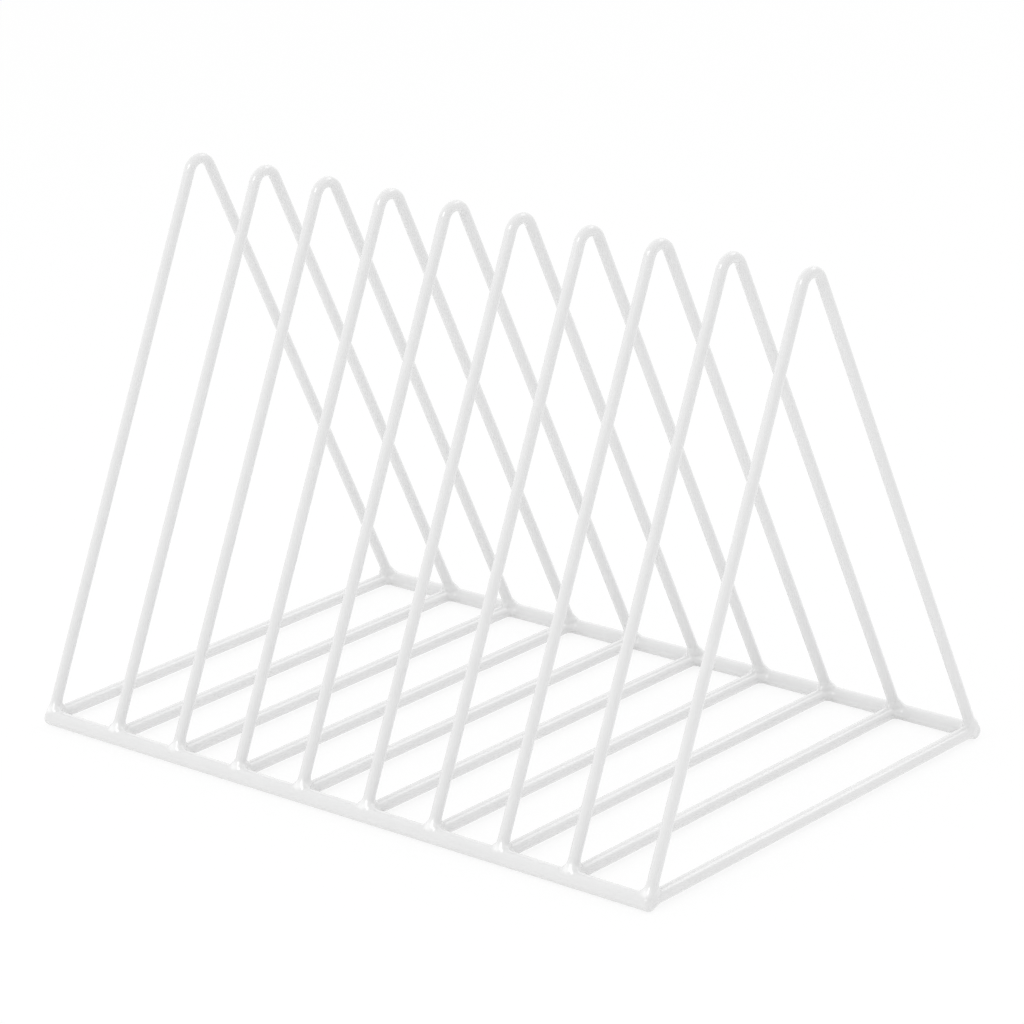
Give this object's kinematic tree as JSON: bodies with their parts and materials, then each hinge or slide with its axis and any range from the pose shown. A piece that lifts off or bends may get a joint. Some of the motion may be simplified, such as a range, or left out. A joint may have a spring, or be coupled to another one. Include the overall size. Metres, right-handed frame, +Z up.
{
  "type": "desktop book rack",
  "caption": "White painted wire book rack: inverted-V wire dividers welded over two rails and straight base wires, leaving open upright slots for books, files or magazines.",
  "frame": {"origin": "on the desk, under the middle of the rack", "axes": "+X along the rails, +Y from the front rail to the rear rail, +Z up"},
  "size_m": [0.2944, 0.196, 0.2015],
  "materials": {
    "rail_paint": "white gloss paint on steel bar",
    "base_wire_paint": "white gloss paint on steel wire",
    "divider_paint": "white gloss paint on bent steel wire",
    "weld_paint": "thick white gloss paint over a weld"
  },
  "bodies": {
    "root": {"front_rail": "rail_paint", "rear_rail": "rail_paint", "base_wire_01": "base_wire_paint", "base_wire_02": "base_wire_paint", "base_wire_03": "base_wire_paint", "base_wire_04": "base_wire_paint", "base_wire_05": "base_wire_paint", "base_wire_06": "base_wire_paint", "base_wire_07": "base_wire_paint", "base_wire_08": "base_wire_paint", "base_wire_09": "base_wire_paint", "base_wire_10": "base_wire_paint", "divider_01": "divider_paint", "divider_02": "divider_paint", "divider_03": "divider_paint", "divider_04": "divider_paint", "divider_05": "divider_paint", "divider_06": "divider_paint", "divider_07": "divider_paint", "divider_08": "divider_paint", "divider_09": "divider_paint", "divider_10": "divider_paint", "front_weld_01": "weld_paint", "front_weld_02": "weld_paint", "front_weld_03": "weld_paint", "front_weld_04": "weld_paint", "front_weld_05": "weld_paint", "front_weld_06": "weld_paint", "front_weld_07": "weld_paint", "front_weld_08": "weld_paint", "front_weld_09": "weld_paint", "front_weld_10": "weld_paint", "rear_weld_01": "weld_paint", "rear_weld_02": "weld_paint", "rear_weld_03": "weld_paint", "rear_weld_04": "weld_paint", "rear_weld_05": "weld_paint", "rear_weld_06": "weld_paint", "rear_weld_07": "weld_paint", "rear_weld_08": "weld_paint", "rear_weld_09": "weld_paint", "rear_weld_10": "weld_paint"}
  },
  "joints": []
}
